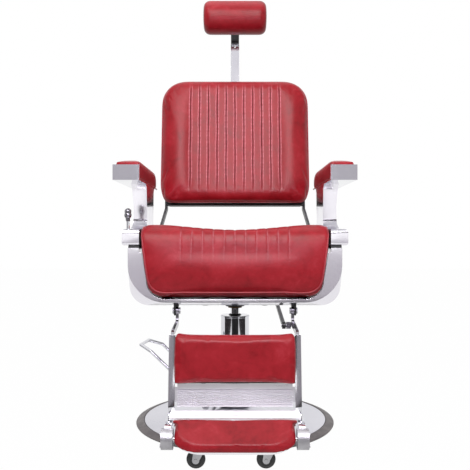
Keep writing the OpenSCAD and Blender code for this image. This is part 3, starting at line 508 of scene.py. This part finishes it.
def piping(name, points, radius, body, closed):
    """A round leather cord along points, with its radius in millimetres."""
    curve = bpy.data.curves.new(name, "CURVE")
    curve.dimensions = "3D"
    line = curve.splines.new("POLY")
    line.points.add(len(points) - 1)
    for spot, point in zip(line.points, points):
        spot.co = (*point, 1.0)
    line.use_cyclic_u = closed
    curve.bevel_depth = radius * MM
    curve.bevel_resolution = 3
    curve.use_fill_caps = not closed
    rope = bpy.data.objects.new(name + "_line", curve)
    scene.collection.objects.link(rope)
    bpy.context.view_layer.update()
    mesh = bpy.data.meshes.new_from_object(rope.evaluated_get(bpy.context.evaluated_depsgraph_get()))
    bpy.data.objects.remove(rope)
    piece = new_piece(name, mesh, "red_leather", body)
    mesh.shade_smooth()
    return piece


def surface_of(piece):
    """A pad's skin, to look up its nearest places."""
    points = [v.co.copy() for v in piece.data.vertices]
    return BVHTree.FromPolygons(points, [tuple(p.vertices) for p in piece.data.polygons])


def corner(cx, cz, r, a0, a1, steps):
    """Points of a round corner, angles in degrees."""
    turns = [math.radians(a0 + (a1 - a0) * i / steps) for i in range(steps + 1)]
    return [(cx + r * math.cos(turn), cz + r * math.sin(turn)) for turn in turns]


def even_line(points, step, closed=False):
    """The same line with a point every step millimetres."""
    line = np.array(points + points[:1] if closed else points, float)
    lengths = np.r_[0, np.cumsum(np.linalg.norm(np.diff(line, axis=0), axis=1))]
    places = np.linspace(0, lengths[-1], max(3, int(lengths[-1] / (step * MM))), endpoint=not closed)
    return np.c_[[np.interp(places, lengths, line[:, k]) for k in range(line.shape[1])]].T


def welt(name, piece, points, body, proud=1.2, radius=2.2, closed=False):
    """Lays piping on a pad: each point goes to the nearest place on the skin and stands a little proud."""
    skin = surface_of(piece)
    laid = []
    for point in points:
        spot, out, _, _ = skin.find_nearest(Vector(point))
        laid.append(spot + out * proud * MM)
    smooth = np.array(laid)
    for _ in range(3):
        inner = (np.roll(smooth, 1, 0) + 2 * smooth + np.roll(smooth, -1, 0)) / 4
        smooth = inner if closed else np.r_[smooth[:1], inner[1:-1], smooth[-1:]]
    cord = piping(name, smooth.tolist(), radius, body, closed)
    # The piping's pale tint is painted highlight
    pull = cord.data.attributes.new("pull", "FLOAT", "POINT")
    pull.data.foreach_set("value", [WELT_SHEEN] * len(cord.data.vertices))


def seam_places(pitch):
    """Where the seams lie along X, the middle one in the middle of the pad."""
    return [(k - SEAM_COUNT // 2) * pitch for k in range(SEAM_COUNT)]


# Back cushion: a crowned front panel with eleven channels, and a boxing strip behind its piping
BACK_HALF, BACK_LOW, BACK_TOP = 260 * MM, 270 * MM, 714 * MM
# Where the front panel lies, and how far behind it the welt and the board lie
BACK_FRONT, BACK_ROLL, BACK_BOARD = -133 * MM, 34 * MM, 86 * MM
BACK_TOP_R, BACK_FOOT_R = 84 * MM, 20 * MM
back_seams = seam_places(BACK_SEAM_PITCH)
back_welt = BACK_FRONT + BACK_ROLL


def back_held(points):
    """The board holds the hide fast, the welt nearly so, and the stitching in part."""
    x, depth, height = in_frame(points, BACK).T
    held = np.where(depth > BACK_FRONT + BACK_BOARD, 1.0, 0.0)
    ring = np.abs(depth - back_welt) < 3.5 * MM
    held[ring] = np.maximum(held[ring], WELT_HOLD)
    sewn = (height > BACK_LOW + 50 * MM) & (height < BACK_TOP - 26 * MM)
    on_face = (depth < BACK_FRONT + 14 * MM) & sewn
    for place in back_seams:
        held[on_face & (np.abs(x - place) < STITCH_HALF)] = 0.45
    return held


def back_reach(points, out):
    """The channels run over the front panel and fade out before its foot and its top."""
    height = in_frame(points, BACK)[:, 2]
    facing = smoothstep(0.35, 0.75, -out[:, 1])
    above_foot = smoothstep(BACK_LOW + 22 * MM, BACK_LOW + 90 * MM, height)
    below_top = smoothstep(BACK_TOP - 16 * MM, BACK_TOP - 60 * MM, height)
    return facing * above_foot * below_top


def back_shade(marks, at):
    """Paints shade onto the boxing behind the welt."""
    depth = in_frame(at, BACK)[:, 1]
    return np.maximum(marks, 0.65 * smoothstep(back_welt + 1 * MM, back_welt + 6 * MM, depth))


back_cushion = foam_block("back_upholstery", "back_cushion", "backrest", inset=4.0, voxel=5.0)
stuff(back_cushion, back_held, cap=9.0)
score(back_cushion, back_seams, lambda f: f.normal.y < -0.4)
# The seams get painted shade, and the folds beside them a pale pink that is partly painted highlight
sew_channels(back_cushion, back_seams, back_reach, depth=2.6, width=2.4, seam_shade=1.0, pull=0.85, fold=4.0)
remark(back_cushion, "seam", back_shade)
back_cushion.data.shade_smooth()

foot_x = BACK_HALF - BACK_FOOT_R - 9 * MM
ring = (corner(BACK_HALF - BACK_TOP_R, BACK_TOP - BACK_TOP_R, BACK_TOP_R, 0, 90, 14)
        + corner(-BACK_HALF + BACK_TOP_R, BACK_TOP - BACK_TOP_R, BACK_TOP_R, 90, 180, 14)
        + [(-BACK_HALF, BACK_LOW + 50 * MM)]
        + corner(-foot_x, BACK_LOW + BACK_FOOT_R, BACK_FOOT_R, 190, 270, 5)
        + corner(foot_x, BACK_LOW + BACK_FOOT_R, BACK_FOOT_R, 270, 350, 5)
        + [(BACK_HALF, BACK_LOW + 50 * MM)])
path = [BACK @ Vector((x, back_welt, height)) for x, height in even_line(ring, WELT_STEP, closed=True)]
welt("back_piping", back_cushion, path, "backrest", closed=True)

# Seat cushion: one panel over the top and down the front, piped along both sides and across the foot
SEAT_HALF, SEAT_FRONT, SEAT_BACK = 262 * MM, -274 * MM, 203 * MM
SEAT_TOP, SEAT_FOOT, SEAT_FOOT_R = 617 * MM, 411 * MM, 46 * MM
# Just above the board, how far down the front the stitching holds, and where channels begin and are full
SEAT_BOARD, SEAT_SEWN, CHANNEL_FOOT, CHANNEL_FULL = 462 * MM, 530 * MM, 500 * MM, 600 * MM
seat_seams = seam_places(SEAT_SEAM_PITCH)
side_x = SEAT_HALF - 6 * MM
narrow_x = side_x - 14 * MM
foot_corner = corner(narrow_x - SEAT_FOOT_R, SEAT_FOOT + 10 * MM + SEAT_FOOT_R, SEAT_FOOT_R, 0, -90, 6)
half_path = [
    (side_x, SEAT_BACK - 14 * MM, SEAT_TOP - 14 * MM),
    (side_x - 2 * MM, -120 * MM, SEAT_TOP - 9 * MM),
    (side_x - 1 * MM, -220 * MM, SEAT_TOP - 10 * MM),
    (side_x, SEAT_FRONT + 22 * MM, SEAT_TOP - 32 * MM),
    (side_x, SEAT_FRONT + 2 * MM, SEAT_TOP - 65 * MM),
    (narrow_x, SEAT_FRONT, SEAT_TOP - 151 * MM),
] + [(x, SEAT_FRONT + 4 * MM, z) for x, z in foot_corner]
seat_path = even_line(half_path + [(-x, y, z) for x, y, z in half_path[::-1]], WELT_STEP)


def seat_held(points):
    """The board holds the hide fast behind and below, the welt nearly so, and the stitching a little."""
    x, y, z = points.T
    held = np.zeros(len(points))
    held[(z < SEAT_BOARD) & (y > SEAT_FRONT + 44 * MM)] = 1.0
    held[y > SEAT_BACK - 12 * MM] = 1.0
    top = (z > SEAT_SEWN) & (np.abs(x) < SEAT_HALF - 20 * MM)
    for place in seat_seams:
        held[top & (np.abs(x - place) < STITCH_HALF)] = 0.3
    # Some thousand points at a time, to keep the table of gaps to the welt small
    at_once = 4000
    for start in range(0, len(points), at_once):
        part = slice(start, start + at_once)
        gap = np.min(np.linalg.norm(points[part, None, :] - seat_path[None], axis=2), axis=1)
        held[part] = np.maximum(held[part], np.where(gap < 8 * MM, WELT_HOLD, 0.0))
    return held


def seat_reach(points, out):
    """The channels run over the top, and fade out down the front and before the back edge."""
    facing = smoothstep(0.1, 0.5, out[:, 2] - out[:, 1])
    before_back = smoothstep(SEAT_BACK - 20 * MM, SEAT_BACK - 50 * MM, points[:, 1])
    return smoothstep(CHANNEL_FOOT, CHANNEL_FULL, points[:, 2]) * facing * before_back


def seat_shade(marks, at):
    """Paints shade into the tuck under the foot piping and onto the boxing at the sides."""
    tuck = np.where(at[:, 2] < SEAT_FOOT + 8 * MM, 0.6, 0.0)
    boxing = 0.6 * smoothstep(SEAT_HALF - 7 * MM, SEAT_HALF - 2 * MM, np.abs(at[:, 0]))
    return np.maximum(marks, np.maximum(tuck, boxing))


def seat_sheen_fade(marks, at):
    """The pale folds and their painted highlight fade out where the hide lies on the flat top."""
    return marks * smoothstep(SEAT_TOP - 13 * MM, SEAT_TOP - 31 * MM, at[:, 2])


def is_channelled(face):
    """Whether one of the seat's faces looks up or forward, above the channels' foot."""
    return face.normal.z - face.normal.y > 0.5 and face.calc_center_median().z > CHANNEL_FOOT


seat_cushion = foam_block("seat_upholstery", "seat_cushion", "seat", inset=2.0, voxel=5.5)
stuff(seat_cushion, seat_held, cap=7.0)
score(seat_cushion, seat_seams, is_channelled)
# The seams get faint painted shade, and the folds a pale pink that is partly painted highlight
sew_channels(seat_cushion, seat_seams, seat_reach, depth=1.2, width=2.6, seam_shade=0.25, pull=0.35, fold=0.0)
remark(seat_cushion, "seam", seat_shade)
remark(seat_cushion, "pull", seat_sheen_fade)
seat_cushion.data.shade_smooth()
welt("seat_piping", seat_cushion, seat_path, "seat")

# Arm pads: the hide is drawn over the foam and held under it
for side in ("left", "right"):
    pad = foam_block("arm_upholstery_" + side, "arm_pad_" + side, "seat", inset=1.5, voxel=4.0)
    low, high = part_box("arm_pad_" + side)
    outer = max(abs(low.x), abs(high.x))

    def arm_held(points):
        """The hide is held on the rail, at the front and along the outer side."""
        x, y, z = points.T
        at_edge = (y < low.y + 5 * MM) | (np.abs(x) > outer - 4 * MM)
        return np.where((z < low.z + 8 * MM) | at_edge, 1.0, 0.0)

    stuff(pad, arm_held, cap=8.0, pressure=6.0)
    pad.data.shade_smooth()

# Headrest: a roll that is flat where it sits on its plate
HEAD_FLAT = 913 * MM
head = foam_block("headrest_upholstery", "headrest_cushion", "headrest", inset=3.0, voxel=4.0)
stuff(head, lambda points: np.where(in_frame(points, BACK)[:, 2] < HEAD_FLAT, 1.0, 0.0), cap=5.0)
head.data.shade_smooth()

# Headrest plate: the bracket cut back to where the roll hides it. The flat leaf's underside, which lies
# 4 to 6 mm below the top, is raised, and so is the front leaf's foot, which lies more than 14 mm below it
PLATE_FRONT = 322 * MM
FLAT_UNDERSIDE, FRONT_FOOT = (4 * MM, 6 * MM), 14 * MM
FLAT_RAISED, FRONT_RAISED = 2.5 * MM, 6.5 * MM
bracket_mesh = frame["nodes"]["headrest_bracket"].data.copy()
plate = new_piece("headrest_plate", bracket_mesh, "black_paint", "headrest")
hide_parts("headrest_bracket")
up_back = Vector((0.0, math.sin(BACK_LEAN), math.cos(BACK_LEAN)))
plate_top = max(point.co.dot(up_back) for point in plate.data.vertices)
for point in plate.data.vertices:
    below = plate_top - point.co.dot(up_back)
    point.co.y = max(point.co.y, PLATE_FRONT)
    if below > FRONT_FOOT:
        point.co += up_back * FRONT_RAISED
    elif FLAT_UNDERSIDE[0] < below < FLAT_UNDERSIDE[1]:
        point.co += up_back * FLAT_RAISED
soften_edges(plate, PLAIN_EDGE)

# Calf pad: its board's face passes through this place and stands further forward the lower it goes
CALF_BOARD_Y, CALF_BOARD_Z = -349 * MM, 330 * MM


def calf_held(points):
    """The hide is held behind the board's face and for 6 mm in front of it."""
    board = CALF_BOARD_Y - (CALF_BOARD_Z - points[:, 2]) * math.tan(CALF_LEAN)
    return np.where(points[:, 1] > board - 6 * MM, 1.0, 0.0)


calf = foam_block("calf_upholstery", "calf_pad", "footrest", inset=0.5, voxel=4.0)
stuff(calf, calf_held, cap=5.0)
calf.data.shade_smooth()

# Flip pad: nothing holds its thin skin back
flip = foam_block("flip_upholstery", "flip_pad", "flip_panel", inset=0.3, voxel=3.0)
stuff(flip, lambda points: np.zeros(len(points)), cap=3.0)
flip.data.shade_smooth()


# ---- Studio ----

TO_CHAIR = (0, 1, 0)
DARK, GREY, COOL, WHITE = "#2A2526", "#C9C5CB", "#F0E6FC", "#FFFFFF"


def card(name, at, width, height, shade, strength=1.0, facing=TO_CHAIR):
    """A flat board that only the reflections see."""
    mesh = bpy.data.meshes.new(name)
    w, h = width / 2, height / 2
    mesh.from_pydata([(-w, -h, 0), (w, -h, 0), (w, h, 0), (-w, h, 0)], [], [(0, 1, 2, 3)])
    board = bpy.data.objects.new(name, mesh)
    scene.collection.objects.link(board)
    board.location = at
    board.rotation_euler = Vector(facing).to_track_quat("Z", "Y").to_euler()
    board.visible_camera = False
    board.visible_shadow = False
    board.visible_diffuse = False
    material, tree, shader, _ = finish(name + "_board")
    set_shader(shader, Base_Color=linear("#000000"), Roughness=1.0)
    set_shader(shader, Emission_Color=linear(shade), Emission_Strength=strength)
    mesh.materials.append(material)


def softbox(name, at, width, height, watts, aim=(0, -0.1, 0.6)):
    """A soft lamp aimed at a place on the chair."""
    lamp = bpy.data.lights.new(name, "AREA")
    lamp.shape = "RECTANGLE"
    lamp.size = width
    lamp.size_y = height
    lamp.energy = watts
    box = bpy.data.objects.new(name, lamp)
    scene.collection.objects.link(box)
    box.location = at
    box.rotation_euler = (Vector(at) - Vector(aim)).to_track_quat("Z", "Y").to_euler()


# The floor: white to the camera and in reflections, apart from a small share that shows the chair's shadow
FLOOR_HALF = 9
WHITE_SHARE = 0.99
floor_mesh = bpy.data.meshes.new("floor")
floor_mesh.from_pydata([(-FLOOR_HALF, -FLOOR_HALF, 0), (FLOOR_HALF, -FLOOR_HALF, 0),
                        (FLOOR_HALF, FLOOR_HALF, 0), (-FLOOR_HALF, FLOOR_HALF, 0)], [], [(0, 1, 2, 3)])
floor = bpy.data.objects.new("floor", floor_mesh)
scene.collection.objects.link(floor)
material, tree, shader, _ = finish("studio_floor")
set_shader(shader, Base_Color=linear("#C6C6C8"), Roughness=0.9)
seen = add(tree, "LightPath")
direct = add(tree, "Math", operation="MAXIMUM",
             in0=seen.outputs["Is Camera Ray"], in1=seen.outputs["Is Glossy Ray"])
white = add(tree, "Emission", Color=linear(WHITE), Strength=1.0)
share = add(tree, "Math", operation="MULTIPLY", in0=direct.outputs[0], in1=WHITE_SHARE)
mixed = add(tree, "MixShader", in0=share.outputs[0], in1=shader.outputs[0], in2=white.outputs[0])
tree.links.new(mixed.outputs[0], tree.nodes["Material Output"].inputs["Surface"])
floor_mesh.materials.append(material)

# The room: white where it is seen, and dimmer as the light that it gives
ROOM_LIGHT = 0.32
scene.world = bpy.data.worlds.new("studio")
scene.world.use_nodes = True
tree = scene.world.node_tree
seen = add(tree, "LightPath")
mirrored = add(tree, "Math", operation="MAXIMUM",
               in0=seen.outputs["Is Camera Ray"], in1=seen.outputs["Is Glossy Ray"])
shown = add(tree, "Math", operation="MAXIMUM",
            in0=mirrored.outputs[0], in1=seen.outputs["Is Transmission Ray"])
level = add(tree, "MapRange", Value=shown.outputs[0], in3=ROOM_LIGHT, in4=1.0)
backdrop = tree.nodes["Background"]
backdrop.inputs["Color"].default_value = linear(WHITE)
tree.links.new(level.outputs["Result"], backdrop.inputs["Strength"])

softbox("key_light", (-1.1, -1.8, 2.9), 1.5, 1.5, 26)
softbox("front_light", (0, -1.95, 2.3), 1.2, 0.9, 33)
softbox("fill_light", (1.9, -2.2, 1.5), 1.2, 1.8, 8)
softbox("head_light", (0, -1.8, 1.5), 0.6, 0.4, 10, (0, 0.3, 1.35))
softbox("top_light", (0, 0.1, 3.0), 2.0, 1.6, 14)

# Boards that the polished fronts mirror, each named for where it is mirrored or where it stands. Dark ones
# edge the shapes, grey ones tone the skirt and rails, and bright ones light the caps, columns and feet
card("upper_card", (0, -2.6, 1.0), 2.6, 0.24, GREY)
card("bar_card", (0, -0.1, 1.47), 0.1, 0.24, "#EEEBF0")
card("back_card", (0, -2.55, 1.6), 1.7, 0.5, DARK)
card("room_card", (0, -3.0, 1.6), 6.0, 3.2, "#4A4648")
card("nose_card", (0, -1.2, 0.89), 0.72, 0.22, COOL, 10.0)
card("crown_card", (0, -2.45, 2.0), 0.6, 0.5, COOL, 4.5)
card("band_card", (0, -2.57, 0.3), 0.66, 0.12, WHITE, 2.0)
card("shin_card", (0, -2.55, 0.5), 0.66, 0.28, DARK)
card("kick_card", (0, -2.55, 0.18), 0.66, 0.12, "#A6A2A8")
card("skirting_card", (0, -2.62, 0.06), 4.4, 0.12, DARK)
for sign in (-1, 1):
    card("flank_card", (sign * 1.2, -1.2, 0.15), 2.4, 0.3, DARK, facing=(-sign, 0, 0))
    card("column_card", (sign * 0.36, -0.5, 0.628), 0.07, 0.105, WHITE, 1.2)
    card("skirt_card", (sign * 0.9, -2.6, 0.315), 0.8, 0.39, GREY)
    card("rail_card", (sign * 0.415, -2.58, 0.375), 0.17, 0.49, "#A19CA2")
    card("foot_card", (sign * 0.7, -2.61, 0.7), 0.5, 0.4, WHITE, 1.35)

# The camera stands 2 m in front of the chair, level with its seat
lens = bpy.data.cameras.new("camera")
lens.lens = 48.3
lens.sensor_width = 36
camera = bpy.data.objects.new("camera", lens)
scene.collection.objects.link(camera)
camera.location = (0, -2.003, 0.586)
camera.rotation_euler = (math.radians(90), 0, 0)
scene.camera = camera
scene.view_settings.view_transform = "Standard"
